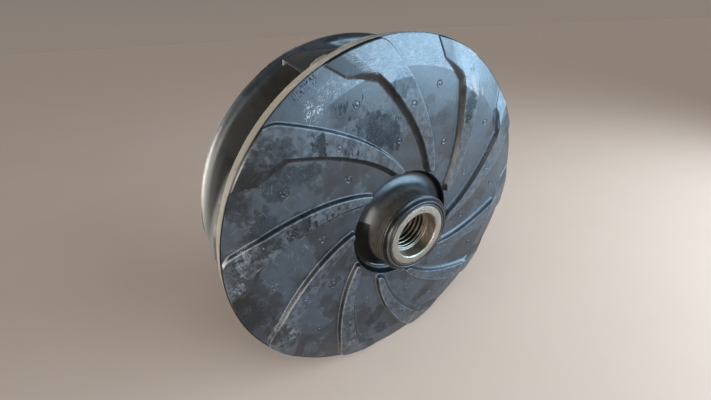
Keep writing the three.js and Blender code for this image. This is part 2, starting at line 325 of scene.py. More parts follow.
def shroud(name, face, side, nose, inner, hub_rows, plain_rows):
    """One shroud with its expelling vanes as one skin: hub rows, the outer face, then rows without vanes."""
    grid, rise, lines = [], [], []

    def add_row(radius, phi, y, share=0, line=0):
        theta = np.radians(phi + SWEEP * math.log(radius / RIM))
        turns = np.radians(np.arange(VANES) * SECTOR)[:, None]
        angle = (theta[None, :] + turns).ravel()
        level, heights, edges = (np.tile(np.broadcast_to(v, theta.shape), VANES) for v in (y, share, line))
        grid.append(np.stack([radius * np.cos(angle), level, radius * np.sin(angle)], axis=-1))
        rise.append(heights)
        lines.append(edges)

    first = spiral_columns(inner)
    for radius, y in hub_rows:
        add_row(radius, first - SWEEP * math.log(radius / inner), y)
    rim_drop = VANE_HEIGHT + BEVEL_DROP - VANE_RIM_HEIGHT
    for radius in face_radii(nose, inner):
        phi = spiral_columns(radius)
        base = face - side * fall(radius, BEVEL, BEVEL_DROP)
        top = face + side * (VANE_HEIGHT - fall(radius, VANE_BEVEL, rim_drop))
        share, line = vane_share(radius, phi, nose)
        add_row(radius, phi, base + (top - base) * share, share, line)
    last = spiral_columns(RIM - EDGE_ROUND)
    for radius, y in plain_rows:
        add_row(radius, last - SWEEP * math.log(radius / RIM), y)

    # The columns run the other way on the hub's side, so that the faces of both shrouds look outward
    order = slice(None, None, 1 if side > 0 else -1)
    grid, rise, lines = (np.array(rows)[:, order] for rows in (grid, rise, lines))
    return grid_object(name, grid, rise=rise, edge=lines)


def numbered(name, count):
    """The names of nodes that are numbered from 01."""
    return [f"{name}_{i + 1:02d}" for i in range(count)]


def back_shroud():
    """The shroud on the hub's side: the pocket's wall, the vaned face, the rim and the inner face."""
    foot = np.array((POCKET_FOOT, POCKET_FLOOR - POCKET_EDGE))
    top = np.array((POCKET, BACK_FACE + POCKET_EDGE))
    wall = [foot + (top - foot) * share for share in np.linspace(0, 1, 6)]
    edge = quarter_curve((POCKET, BACK_FACE), (POCKET_EDGE, POCKET_EDGE), (65, 40, 15))
    rim = rim_profile(BACK_RIM_EDGE, BACK_INNER, BACK_RIM_ROUND)
    inner_rows = [(radius, BACK_INNER) for radius in np.linspace(RIM - 0.006, 0.100, 8)]
    piece = shroud(
        "back_shroud_rubber", BACK_FACE, -1, BACK_NOSE, POCKET + POCKET_EDGE, wall + edge, rim + inner_rows)
    return piece, ["back_shroud", *numbered("back_expelling_vane", VANES)]


def front_shroud():
    """The shroud on the inlet's side, with the eye and its ring."""
    ring = rounded([
        (EYE, FRONT_INNER + EYE_FLARE_DEPTH), (EYE, INLET_END), (EYE_RING, INLET_END), (EYE_RING, FRONT_FACE),
        (FRONT_NOSE - 0.0005, FRONT_FACE),
    ], [0.005, 0.003, 0.002])
    rim = rim_profile(FRONT_RIM_EDGE, FRONT_INNER, FRONT_RIM_ROUND)
    inner_rows = [(radius, FRONT_INNER) for radius in np.linspace(RIM - 0.02, EYE + EYE_FLARE + 0.004, 8)]
    throat = quarter_curve((EYE, FRONT_INNER), (EYE_FLARE, EYE_FLARE_DEPTH), range(15, 91, 15))
    piece = shroud(
        "front_shroud_rubber", FRONT_FACE, 1, FRONT_NOSE, FRONT_NOSE, ring, rim + inner_rows + throat)
    return piece, ["front_shroud", "inlet_ring", *numbered("front_expelling_vane", VANES)]


def hub():
    """The moulded hub: the pocket's floor, flared boss, grooved collar and the lip round the steel."""
    turns = np.linspace(BOSS_FLARE_TURN, 90, 17)[:-1]
    flare = quarter_curve((BOSS, POCKET_FLOOR), (BOSS_FLARE, -BOSS_FLARE), turns)
    wall = np.array((POCKET_FOOT + 0.0006, POCKET_FLOOR - 0.0060))
    corner = np.array(flare[0]) + POCKET_FILLET * np.array((1, math.tan(math.radians(BOSS_FLARE_TURN))))
    fillet = bend(wall, corner, np.array(flare[0]), 12)[:-1]
    neck = 0.0768
    collar = 0.0802
    nose = [
        # radius, distance from the drive end, round
        (BOSS, 0.0132, 0.0006),
        (neck, 0.0128, 0.0006),
        (neck, 0.0106, 0.0006),
        (collar, 0.0102, 0.0008),
        (collar, 0.0082, 0.0012),
        (0.0760, 0.0056, 0.0010),
        (0.0745, 0.0062, 0.0006),
        (0.0735, 0.0030, 0.0018),
        (0.0716, 0.0003, 0.0018),
        (0.0692, 0.0008, 0.0008),
        (0.0678, 0.0034, 0.0006),
        (0.0664, 0.0006, 0.0006),
        (0.0648, 0.0001, 0.0010),
        (STEEL_RADIUS + 0.0003, 0.0004, 0.0004),
        (STEEL_RADIUS, 0.0030, 0),
    ]
    outline = [(BOSS, POCKET_FLOOR - BOSS_FLARE), *((radius, DRIVE_END + depth) for radius, depth, _ in nose)]
    profile = [*fillet, *flare, *rounded(outline, [size for *_, size in nose[:-1]])]
    return turned("hub_rubber", profile), ["pocket_floor", "hub_boss", "hub_collar", "nose_lip"]


def inner_hub():
    """The rounded nose inside, which closes the hub behind the threaded insert."""
    base = 0.110
    height = 0.062
    fullness = 1.5
    profile = [(0.0005, BACK_INNER + height)]
    for t in np.linspace(0.995, 0.03, 22):
        profile.append((base * (1 - t ** fullness) ** (1 / fullness), BACK_INNER + height * t))
    profile += [(base + 0.004, BACK_INNER + 0.0008), (base + 0.012, BACK_INNER)]
    return turned("inner_hub_rubber", profile), ["inner_hub_base", "inner_hub_dome"]


def pumping_outline(widen):
    """Points round the first pumping vane, its sides moved out by widen: one side, the cut end, the other."""
    along = np.linspace(0, 1, 70)
    radius = PUMPING_INNER + (PUMPING_TIP_RADIUS - PUMPING_INNER) * along
    outer = OUTER_SWEEP * np.log(np.maximum(radius, PUMPING_BEND) / PUMPING_TIP_RADIUS)
    inner = INNER_SWEEP * np.log(np.minimum(radius, PUMPING_BEND) / PUMPING_BEND)
    middle = np.radians(PUMPING_TIP + outer + inner)
    bent = np.clip((radius - PUMPING_BEND) / PUMPING_BEND_LENGTH + 0.5, 0, 1)
    sweep = np.radians(INNER_SWEEP + (OUTER_SWEEP - INNER_SWEEP) * bent * bent * (3 - 2 * bent))
    half = (PUMPING_THICKNESS + (PUMPING_TIP_THICKNESS - PUMPING_THICKNESS) * along ** 3) / 2 + widen
    half *= np.sqrt(1 - np.clip(1 - (along + 0.002) / PUMPING_NOSE, 0, 1) ** 2)
    run = half * np.hypot(1, sweep) / radius
    end = np.linspace(middle[-1] + run[-1], middle[-1] - run[-1], 9)[1:-1]
    turn = np.concatenate([middle + run, end, (middle - run)[::-1]])
    reach = np.concatenate([radius, np.full(len(end), PUMPING_TIP_RADIUS), radius[::-1]])
    return np.stack([reach * np.cos(turn), reach * np.sin(turn)], axis=-1)


def pumping_vane(index):
    """A thick spiral wall from shroud to shroud, with fillets at both, cut off by the rim."""
    fillet = quarter_curve((0, 0), (PUMPING_FILLET, PUMPING_FILLET), np.linspace(0, 90, 7))
    turn = 2 * math.pi * index / PUMPING_VANES
    spin = np.array([[math.cos(turn), math.sin(turn)], [-math.sin(turn), math.cos(turn)]])
    rows = []
    for widen, face, away in ((PUMPING_DRAFT, BACK_INNER, 1), (-PUMPING_DRAFT, FRONT_INNER, -1)):
        outline = pumping_outline(widen)
        tangent = np.roll(outline, -1, axis=0) - np.roll(outline, 1, axis=0)
        tangent /= np.linalg.norm(tangent, axis=1)[:, None]
        outward = np.stack([-tangent[:, 1], tangent[:, 0]], axis=-1)
        for spread, rise in fillet[::away]:
            flat = outline + outward * spread
            reach = np.linalg.norm(flat, axis=1)
            flat = flat * np.minimum(1, PUMPING_TIP_RADIUS / reach)[:, None] @ spin
            over = np.clip(np.minimum(reach, PUMPING_TIP_RADIUS) - (RIM - FRONT_RIM_ROUND), 0, None)
            sag = (FRONT_RIM_ROUND - np.sqrt(FRONT_RIM_ROUND ** 2 - over ** 2)) if away < 0 else 0
            y = np.broadcast_to(face + away * rise + sag, len(flat))
            rows.append(np.stack([flat[:, 0], y, flat[:, 1]], axis=-1))
    piece = grid_object(f"pumping_vane_rubber_{index + 1}", np.array(rows))
    return piece, [f"pumping_vane_{index + 1}"]


def steel_insert():
    """The threaded steel insert: a plain counterbore, a short cone, then a coarse right-hand thread."""
    mouth = 0.002
    cone = 0.0018
    crest = 0.28              # shares of the pitch that a crest and a flank take up
    flank = 0.20
    lead_in = 0.002
    plain = rounded([
        (STEEL_RADIUS, STEEL_FACE + 0.008), (STEEL_RADIUS, STEEL_FACE), (BORE + mouth, STEEL_FACE),
        (BORE, STEEL_FACE + mouth), (BORE, SHOULDER), (THREAD_MINOR + 0.0012, SHOULDER + cone),
    ], [0.0010, 0.0003, 0.0003, 0.0008])
    start = SHOULDER + cone + 0.0002
    turn = np.arange(TURNED_SEGMENTS) / TURNED_SEGMENTS
    depth = np.linspace(0, INSERT_END - start, 400)
    phase = (depth[:, None] / THREAD_PITCH + turn[None, :]) % 1
    groove = ramp((np.abs(phase - 0.5) - crest / 2) / flank, 0.3, 0.25) * ramp(depth / lead_in)[:, None]
    relief = np.concatenate([np.zeros((len(plain), TURNED_SEGMENTS)), (THREAD_MAJOR - THREAD_MINOR) * groove])
    profile = [*plain, *((THREAD_MINOR, start + d) for d in depth)]
    return turned("steel_hub_insert", profile, relief), ["hub_insert"]


def moulding_marks():
    """Small round marks in the rubber, a ring round a button: two in each channel and one on each vane."""
    ring = [
        # radius, height
        (0.0070, -0.0003), (0.0064, 0.0004), (0.0059, 0.0009), (0.0054, 0.0009), (0.0048, 0.0002),
        (0.0040, 0.0000), (0.0030, 0.0001), (0.0020, 0.0005), (0.0010, 0.0007), (0.0001, 0.0007),
    ]
    marks = [
        # radius, spiral angle, height above the face
        (0.1815, 12.5, 0.0), (0.271, 12.4, 0.0), (0.240, 31.0, VANE_HEIGHT),
    ]
    segments = 24
    points, faces = [], []
    for vane in range(VANES):
        for place, phi, height in marks:
            turn = math.radians(phi + vane * SECTOR + SWEEP * math.log(place / RIM))
            centre = Vector((place * math.cos(turn), BACK_FACE - height, place * math.sin(turn)))
            start = len(points)
            for radius, rise in ring:
                for i in range(segments):
                    angle = 2 * math.pi * i / segments
                    offset = Vector((radius * math.cos(angle), -rise, radius * math.sin(angle)))
                    points.append(centre + offset)
            for low in range(start, start + segments * (len(ring) - 1), segments):
                for i in range(segments):
                    after = (i + 1) % segments
                    faces.append([low + i, low + after, low + segments + after, low + segments + i])
    return mesh_object("moulding_marks", points, faces), []


def rim_flash():
    """Thin torn fins of rubber along both rims, where the halves of the mould met."""
    front = FRONT_INNER + FRONT_RIM_ROUND + 0.003
    spans = [
        # y, first angle, last angle, height, steps
        (BACK_INNER, 111, 116, 0.0034, 14),
        (BACK_INNER, 97, 108, 0.0009, 30),
        (front, 107, 124, 0.0026, 50),
        (front, 166, 196, 0.0024, 80),
    ]
    foot = RIM - 0.001
    foot_half = 0.0008
    crest_half = 0.0002
    box_margin = 0.0002
    draw = np.random.default_rng(7)
    points, faces = [], []
    for y, first, last, height, steps in spans:
        start = len(points)
        share = np.linspace(0, 1, steps)
        hump = np.clip(4 * share * (1 - share), 0, 1) ** 0.4
        tall = height * hump * (0.7 + 0.3 * draw.random(steps))
        angle = np.radians(first + (last - first) * share)
        room = RIM / np.maximum(np.abs(np.cos(angle)), np.abs(np.sin(angle))) - RIM
        tall = np.minimum(tall, room - box_margin)
        for turn, crest in zip(angle, tall, strict=True):
            top = RIM + crest
            section = ((foot, -foot_half), (top, -crest_half), (top, crest_half), (foot, foot_half))
            for reach, aside in section:
                points.append((reach * math.cos(turn), y + aside, reach * math.sin(turn)))
        for low in range(start, start + 4 * (steps - 1), 4):
            for i in range(4):
                after = (i + 1) % 4
                faces.append([low + i, low + after, low + 4 + after, low + 4 + i])
    return mesh_object("rim_flash", points, faces), []


class Nodes:
    """A material's nodes, and short calls that build them. A mask goes from 0 to 1 over the surface."""

    def __init__(self, name):
        self.material = bpy.data.materials.new(name)
        self.material.use_nodes = True
        self.tree = self.material.node_tree
        self.shader = self.tree.nodes["Principled BSDF"]
        self.place = self.put("ShaderNodeTexCoord").outputs["Object"]
        self.x, self.y, self.z = self.put("ShaderNodeSeparateXYZ", {0: self.place}).outputs
        self.radius = self.length(self.scaled(self.place, (1, 0, 1)))
        self.colour = None

    def put(self, kind, inputs=None, **settings):
        """A new node, whose inputs are given by name or number and whose settings by keyword."""
        node = self.tree.nodes.new(kind)
        for key, value in settings.items():
            setattr(node, key, value)
        for key, value in (inputs or {}).items():
            self.feed(node.inputs[key], value)
        return node

    def feed(self, socket, value):
        """Link a node's output to a socket, or set the socket to a plain value."""
        if isinstance(value, bpy.types.NodeSocket):
            self.tree.links.new(value, socket)
        else:
            socket.default_value = value

    def math(self, operation, a, b):
        return self.put("ShaderNodeMath", {0: a, 1: b}, operation=operation).outputs[0]

    def product(self, *values):
        total = values[0]
        for value in values[1:]:
            total = self.math("MULTIPLY", total, value)
        return total

    def largest(self, *values):
        most = values[0]
        for value in values[1:]:
            most = self.math("MAXIMUM", most, value)
        return most

    def outside(self, mask):
        """The mask of what another mask leaves out."""
        return self.math("SUBTRACT", 1, mask)

    def weighted(self, start, *parts):
        """The start plus each value times its weight."""
        total = start
        for value, weight in parts:
            total = self.math("ADD", total, self.math("MULTIPLY", value, weight))
        return total

    def vector(self, x, y):
        return self.put("ShaderNodeCombineXYZ", {0: x, 1: y}).outputs[0]

    def scaled(self, vector, scale):
        return self.put("ShaderNodeVectorMath", {0: vector, 1: scale}, operation="MULTIPLY").outputs["Vector"]

    def length(self, vector):
        return self.put("ShaderNodeVectorMath", {0: vector}, operation="LENGTH").outputs["Value"]

    def layer(self, name):
        """A number that a mesh holds at its corners."""
        return self.put("ShaderNodeAttribute", attribute_name=name).outputs["Fac"]

    def noise(self, scale, detail, roughness, at=None):
        """Noise over the surface, or over other coordinates."""
        place = self.place if at is None else at
        inputs = {"Vector": place, "Scale": scale, "Detail": detail, "Roughness": roughness}
        return self.put("ShaderNodeTexNoise", inputs).outputs["Fac"]

    def step(self, value, low, high, to_low=0.0, to_high=1.0):
        """A smooth change from to_low to to_high, as a value goes from low to high."""
        inputs = {"Value": value, "From Min": low, "From Max": high, "To Min": to_low, "To Max": to_high}
        return self.put("ShaderNodeMapRange", inputs, interpolation_type="SMOOTHSTEP").outputs["Result"]

    def band(self, value, low, high, soft):
        """1 between low and high, falling to 0 within soft of either."""
        return self.product(self.step(value, low - soft, low), self.step(value, high + soft, high))

    def mix(self, factor, a, b):
        """A blend from colour a to colour b, each of them a node's output or red, green and blue."""
        node = self.put("ShaderNodeMix", data_type="RGBA")
        self.feed(node.inputs["Factor"], factor)
        for socket, colour in (("A", a), ("B", b)):
            self.feed(node.inputs[socket], (*colour, 1) if isinstance(colour, tuple) else colour)
        return node.outputs["Result"]

    def paint(self, mask, strength, colour):
        """Lay a colour over the material's own, as far as a mask reaches."""
        self.colour = self.mix(self.math("MULTIPLY", mask, strength), self.colour, colour)

    def bumps(self, height, strength, distance):
        """Give the surface small bumps of these heights."""
        bump = self.put("ShaderNodeBump", {"Height": height, "Strength": strength, "Distance": distance})
        self.feed(self.shader.inputs["Normal"], bump.outputs["Normal"])


# Colours of the steel, its painted shade, and the floor: red, green and blue
BARE_STEEL = (0.385, 0.345, 0.290)
STAINED_STEEL = (0.27, 0.232, 0.185)
BORE_STEEL = (0.42, 0.355, 0.28)
SHOULDER_SHADE = (0.09, 0.078, 0.066)
PIT_RUST = (0.08, 0.06, 0.045)
THREAD_ROOT_SHADE = (0.02, 0.018, 0.015)
FLOOR_BROWN = (0.57, 0.455, 0.38)
PALE_FLOOR = (0.61, 0.495, 0.42)


def steel_material():
    """Machined steel with turning rings, stains and pits, in painted shade at the shoulder and in the
    thread's roots.
    """
    n = Nodes("stained_machined_steel")
    stain = n.noise(60, 5, 0.6)
    n.colour = n.mix(n.step(stain, 0.35, 0.7), BARE_STEEL, STAINED_STEEL)
    n.paint(n.step(n.y, STEEL_FACE + 0.001, STEEL_FACE + 0.010), 0.85, BORE_STEEL)
    # Painted shade on the cone at the shoulder
    n.paint(n.band(n.y, SHOULDER + 0.0003, SHOULDER + 0.0016, 0.0005), 0.65, SHOULDER_SHADE)
    n.paint(n.step(n.noise(330, 4, 0.7), 0.50, 0.64), 0.6, PIT_RUST)
    past_shoulder = n.step(n.y, SHOULDER + 0.0018, SHOULDER + 0.0030)
    # Painted shade: the thread's roots are coloured near black
    root = n.product(n.step(n.radius, THREAD_MINOR + 0.0011, THREAD_MINOR + 0.0023), past_shoulder)
    n.paint(root, 0.95, THREAD_ROOT_SHADE)
    n.feed(n.shader.inputs["Base Color"], n.colour)
    n.feed(n.shader.inputs["Metallic"], 1.0)
    n.feed(n.shader.inputs["Roughness"], n.step(stain, 0.3, 0.7, 0.36, 0.55))
    rings = n.noise(1, 2, 0.6, at=n.vector(n.product(n.radius, 2500), 0.0))
    n.bumps(rings, 0.12, 0.0003)
    return n.material


def floor_material():
    """A plain pale floor, faintly mottled."""
    n = Nodes("pale_floor")
    n.feed(n.shader.inputs["Base Color"], n.mix(n.noise(3, 4, 0.6), FLOOR_BROWN, PALE_FLOOR))
    n.feed(n.shader.inputs["Roughness"], 0.55)
    n.feed(n.shader.inputs["Specular IOR Level"], 0.2)
    return n.material


# Colours of the rubber, the dirt on it, and the painted shade and highlights on it: red, green and blue
BLACK_RUBBER = (0.0110, 0.0125, 0.0145)
GREY_RUBBER = (0.019, 0.022, 0.026)
SHADE_BLACK_RUBBER = (0.007, 0.007, 0.007)
POCKET_SHADE = (0.005, 0.005, 0.005)
DARK_MARK = (0.008, 0.008, 0.0085)
SEAM = (0.012, 0.012, 0.013)
FILM = (0.036, 0.041, 0.048)
FILM_BORDER = (0.12, 0.12, 0.12)
RUBBED_TOP = (0.10, 0.105, 0.11)
EDGE_WEAR_AND_HIGHLIGHT = (0.26, 0.28, 0.29)
PALE_SCUFF = (0.42, 0.43, 0.43)
PALE_SCRATCH = (0.20, 0.205, 0.21)
FROST = (0.24, 0.26, 0.28)
SPECK = (0.32, 0.32, 0.31)
CHALK = (0.34, 0.235, 0.155)
FLARE_HIGHLIGHT = (0.19, 0.18, 0.155)
GLINT = (0.16, 0.235, 0.29)
BOSS_DUST = (0.050, 0.046, 0.039)
PASSAGE_DUST_AND_LIGHT = (0.030, 0.029, 0.025)
FAR_RIM_HIGHLIGHT = (0.090, 0.092, 0.087)
TAN = (0.26, 0.230, 0.170)
DARK_TAN = (0.185, 0.172, 0.138)
SHADED_TAN = (0.088, 0.081, 0.061)
FLASH_TAN = (0.11, 0.095, 0.070)

# Wear on the hub's side: radius, angle, half length, half width, angle of the length
SCUFFS = [
    (0.3060, 124.0, 0.013, 0.007, 60), (0.2990, 121.5, 0.012, 0.006, 80),
]
FAINT_SCUFFS = [
    (0.3103, 168.7, 0.030, 0.016, 60), (0.3208, 176.1, 0.028, 0.014, 80), (0.3060, 122.6, 0.030, 0.016, 70),
    (0.3020, 204.9, 0.040, 0.024, 130), (0.2926, 241.0, 0.020, 0.012, 150), (0.3113, 276.2, 0.026, 0.012, 20),
    (0.3100, 116.0, 0.040, 0.014, 20),
]
CHALKY_PATCHES = [
    (0.2943, 59.0, 0.017, 0.006, 111), (0.3010, 51.2, 0.009, 0.0028, 97),
]
DARK_PATCHES = [
    (0.2105, 104.3, 0.050, 0.028, 151), (0.2680, 128.8, 0.019, 0.011, 90), (0.2604, 55.6, 0.031, 0.012, 85),
    (0.3010, 36.2, 0.020, 0.010, 100),
]
FAINT_PATCHES = [
    (0.2616, 139.6, 0.036, 0.014, 0), (0.2895, 145.2, 0.028, 0.018, 90), (0.2740, 93.5, 0.022, 0.020, 90),
    (0.2834, 159.4, 0.036, 0.020, 80), (0.3290, 154.3, 0.024, 0.016, 90), (0.2331, 157.7, 0.026, 0.014, 30),
    (0.2300, 252.0, 0.030, 0.018, 40), (0.2800, 258.0, 0.024, 0.014, 120), (0.2500, 285.0, 0.026, 0.014, 20),
    (0.3080, 203.0, 0.040, 0.020, 110), (0.3250, 143.0, 0.032, 0.018, 55), (0.3240, 188.5, 0.046, 0.022, 99),
    (0.2860, 166.0, 0.034, 0.012, 12), (0.3080, 137.0, 0.026, 0.016, 40), (0.2300, 121.0, 0.014, 0.008, 60),
]
SMEARS = [
    (0.2857, 116.0, 0.016, 0.012, 90), (0.2655, 113.9, 0.012, 0.010, 90), (0.2787, 108.7, 0.008, 0.004, 90),
    (0.2154, 118.0, 0.030, 0.014, 20), (0.3176, 107.2, 0.012, 0.008, 60), (0.1994, 156.3, 0.040, 0.014, 20),
    (0.2596, 56.4, 0.030, 0.010, 85), (0.2331, 157.7, 0.030, 0.014, 30), (0.2740, 94.5, 0.018, 0.016, 90),
    (0.3140, 62.5, 0.010, 0.005, 95),
]


class Rubber(Nodes):
    """The rubber's node tree, with the noises and masks that its layers share."""

    def __init__(self):
        super().__init__("worn_black_rubber")
        self.angle = self.math("ARCTAN2", self.z, self.x)
        self.rise = self.layer("rise")
        self.edge = self.layer("edge")
        self.clouds = self.noise(9, 5, 0.6)
        self.blotches = self.noise(28, 4, 0.6)
        self.mottle = self.noise(90, 5, 0.65)
        self.grain = self.noise(420, 3, 0.6)
        self.ragged = self.step(self.mottle, 0.2, 0.8, -0.5, 0.5)
        self.hub_side = self.product(
            self.step(self.y, BACK_RIM_EDGE + 0.0051, BACK_RIM_EDGE + 0.0001),
            self.step(self.radius, POCKET + 0.0008, POCKET + 0.0028))

    def towards(self, turn, low, high):
        """The side that faces an angle, where the cosine of the turn away from it passes low to high."""
        turn = math.radians(turn)
        along = self.math("ADD", self.product(self.x, math.cos(turn)), self.product(self.z, math.sin(turn)))
        return self.step(self.math("DIVIDE", along, self.radius), low, high)

    def streaks(self, turn, along, across, low, high):
        """Fine strokes on the hub's side, turned from +X towards +Z, where their noise passes low to high."""
        inputs = {"Vector": self.place, "Rotation": (0, -math.radians(turn), 0), "Scale": (along, 1, across)}
        flat = self.put("ShaderNodeMapping", inputs, vector_type="TEXTURE").outputs[0]
        return self.step(self.noise(1, 2, 0.5, at=flat), low, high)

    def spots(self, table):
        """Soft ellipses with torn edges on the hub's side."""
        masks = []
        for radius, angle, length, width, turn in table:
            at = math.radians(angle)
            inputs = {
                "Vector": self.place,
                "Location": (radius * math.cos(at), 0, radius * math.sin(at)),
                "Rotation": (0, -math.radians(turn), 0),
                "Scale": (length, 1, width),
            }
            reach = self.length(self.put("ShaderNodeMapping", inputs, vector_type="TEXTURE").outputs[0])
            masks.append(self.step(self.math("ADD", reach, self.ragged), 1.15, 0.85))
        return self.largest(*masks)


def dried_film(n):
    """A grey film in clouds, with a thin light border where it ends."""
    film = n.step(n.clouds, 0.48, 0.53)
    n.paint(film, n.step(n.mottle, 0.3, 0.7, 0.4, 0.8), FILM)
    border = n.product(n.band(n.clouds, 0.492, 0.500, 0.006), n.step(n.blotches, 0.42, 0.60), n.hub_side)
    n.paint(border, 0.25, FILM_BORDER)
    return film


def vane_sides(n):
    """Black painted shade on the expelling vanes' walls, and rubbed, mottled tops."""
    # Painted shade: the vanes' walls are coloured near black
    walls = n.band(n.rise, 0.06, 0.72, 0.05)
    n.paint(walls, 0.85, SHADE_BLACK_RUBBER)
    n.paint(n.product(n.step(n.rise, 0.90, 0.99), n.step(n.mottle, 0.42, 0.62)), 0.35, RUBBED_TOP)
    return walls


def dark_marks(n):
    """Dull patches with torn edges, smears, and short dashes round the upper left of the rim."""
    patches = n.largest(n.spots(DARK_PATCHES), n.product(n.spots(FAINT_PATCHES), 0.55))
    patches = n.product(patches, n.step(n.blotches, 0.35, 0.50, 0.6, 1), n.step(n.grain, 0.35, 0.55, 0.7, 1))
    smears = n.product(n.spots(SMEARS), n.streaks(80, 0.020, 0.006, 0.52, 0.58), 0.75)
    dashes_at = n.vector(n.product(n.angle, 150), n.product(n.radius, 230))
    dashes = n.product(
        n.step(n.noise(1, 2, 0.5, at=dashes_at), 0.52, 0.58),
        n.band(n.radius, 0.331, 0.3405, 0.005),
        n.band(n.angle, math.radians(118.5), math.radians(124), 0.03))
    dark = n.product(n.largest(n.product(patches, 0.85), smears, dashes), n.hub_side)
    n.paint(dark, 1, DARK_MARK)
    return dark


def scuffs_and_scratches(n):
    """Light scuffs of short strokes, and long thin scratches."""
    strokes = n.largest(*(n.streaks(turn, 0.008, 0.0014, 0.55, 0.65) for turn in (62, 96, 20)))
    rubbed = n.largest(n.spots(SCUFFS), n.product(n.spots(FAINT_SCUFFS), 0.3))
    scuffs = n.product(rubbed, strokes, n.step(n.mottle, 0.45, 0.58, 0.15, 1), n.hub_side)
    n.paint(scuffs, 0.9, PALE_SCUFF)
    scratches = n.largest(*(n.streaks(turn, 0.040, 0.0018, 0.66, 0.74) for turn in (35, 118, 77)))
    n.paint(n.product(scratches, n.step(n.clouds, 0.40, 0.60, 0.3, 1), n.hub_side), 0.40, PALE_SCRATCH)
    return scuffs


def frost(n, walls):
    """Fine pale brushing on the upper part of the bevel and of the vanes' falling tops."""
    strokes = n.largest(n.streaks(3, 0.010, 0.0010, 0.50, 0.62), n.streaks(65, 0.004, 0.0012, 0.55, 0.66))
    past_vane_bevel = n.step(n.radius, VANE_BEVEL - 0.001, VANE_BEVEL + 0.001)
    bevels = n.largest(
        n.step(n.radius, BEVEL - 0.001, BEVEL + 0.001), n.product(past_vane_bevel, n.step(n.rise, 0.9, 0.99)))
    brushed = n.product(
        strokes, bevels, n.outside(n.largest(walls, n.edge)),
        n.step(n.blotches, 0.30, 0.60, 0.25, 1),
        n.band(n.angle, math.radians(62), math.radians(106), 0.15), n.hub_side)
    n.paint(brushed, 0.48, FROST)


def chalk_and_specks(n):
    """Chalky patches on the hub's side, small light specks all over, and light lines along the vanes' edges,
    wear and painted highlight.
    """
    chalk = n.product(n.spots(CHALKY_PATCHES), n.step(n.grain, 0.35, 0.60, 0.4, 1), n.hub_side)
    n.paint(chalk, 0.6, CHALK)
    specks = n.product(n.step(n.noise(300, 2, 0.5), 0.72, 0.76), n.step(n.blotches, 0.45, 0.60))
    n.paint(specks, 0.6, SPECK)
    # Wear and painted highlight along the vanes' edges
    n.paint(n.edge, n.step(n.mottle, 0.25, 0.60, 0.12, 0.42), EDGE_WEAR_AND_HIGHLIGHT)
    return chalk


def pocket_and_flare(n):
    """The pocket in black painted shade, and on the boss's flare a side in painted shade, a painted highlight
    and a small painted glint.
    """
    # Painted shade: the pocket is coloured near black
    pocket = n.step(n.radius, POCKET + 0.0003, POCKET - 0.0012)
    n.paint(pocket, 0.9, POCKET_SHADE)
    # Painted shade on the flare's lower left: black, dull and without dust
    lower = n.product(n.towards(197, 0.76, 0.79), n.step(n.radius, 0.1030, 0.1010))
    left = n.product(n.towards(188, 0.855, 0.875), n.step(n.radius, 0.1130, 0.1110))
    shaded_flare_side = n.product(n.largest(lower, left), n.step(n.radius, 0.0815, 0.0850))
    # Painted highlight: a pale patch on the flare's upper left
    flare_highlight = n.product(
        n.towards(157, 0.92, 1.0), n.band(n.radius, 0.0865, 0.0895, 0.0055), n.outside(shaded_flare_side))
    n.paint(flare_highlight, 0.6, FLARE_HIGHLIGHT)
    glint = n.product(
        n.towards(238, 0.965, 0.99), n.band(n.radius, 0.1022, 0.1040, 0.0012),
        n.step(n.y, POCKET_FLOOR - 0.01, POCKET_FLOOR - 0.005))
    n.paint(glint, 1, GLINT)
    return pocket, shaded_flare_side


def dusty_boss(n, shaded_flare_side):
    """Brown dust on the boss and its collar, thinner towards the drive end."""
    boss = n.product(
        n.step(n.radius, BOSS + 0.0085, BOSS + 0.0015), n.step(n.mottle, 0.30, 0.60, 0.5, 1),
        n.step(n.y, DRIVE_END + 0.010, DRIVE_END + 0.014, 0.35, 1), n.outside(shaded_flare_side))
    n.paint(boss, 0.9, BOSS_DUST)
    return boss


def passages_and_ends(n):
    """Brown dust and painted light in the passages, painted shade on the pumping vanes' tips, and a painted
    highlight round the far rim's left.
    """
    # Dust in the passages, lightened as painted light
    passage = n.product(
        n.band(n.y, BACK_INNER + 0.001, FRONT_INNER + 0.002, 0.002),
        n.step(n.radius, RIM - 0.004, RIM - 0.016),
        n.step(n.blotches, 0.25, 0.65, 0.5, 1))
    n.paint(passage, 0.9, PASSAGE_DUST_AND_LIGHT)
    # Painted shade: the pumping vanes' cut ends are coloured near black
    ends = n.product(
        n.band(n.y, BACK_INNER + 0.003, FRONT_INNER - 0.002, 0.002),
        n.step(n.radius, RIM - 0.004, RIM - 0.002))
    n.paint(ends, 0.85, SHADE_BLACK_RUBBER)
    # Painted highlight: a pale band on the far rim's rounding, facing left
    far_round = n.product(
        n.band(n.y, FRONT_INNER - 0.002, FRONT_RIM_EDGE, 0.002), n.step(n.radius, 0.318, 0.328),
        n.towards(180, 0.76, 0.95))
    n.paint(far_round, 0.75, FAR_RIM_HIGHLIGHT)
    return passage, ends, far_round


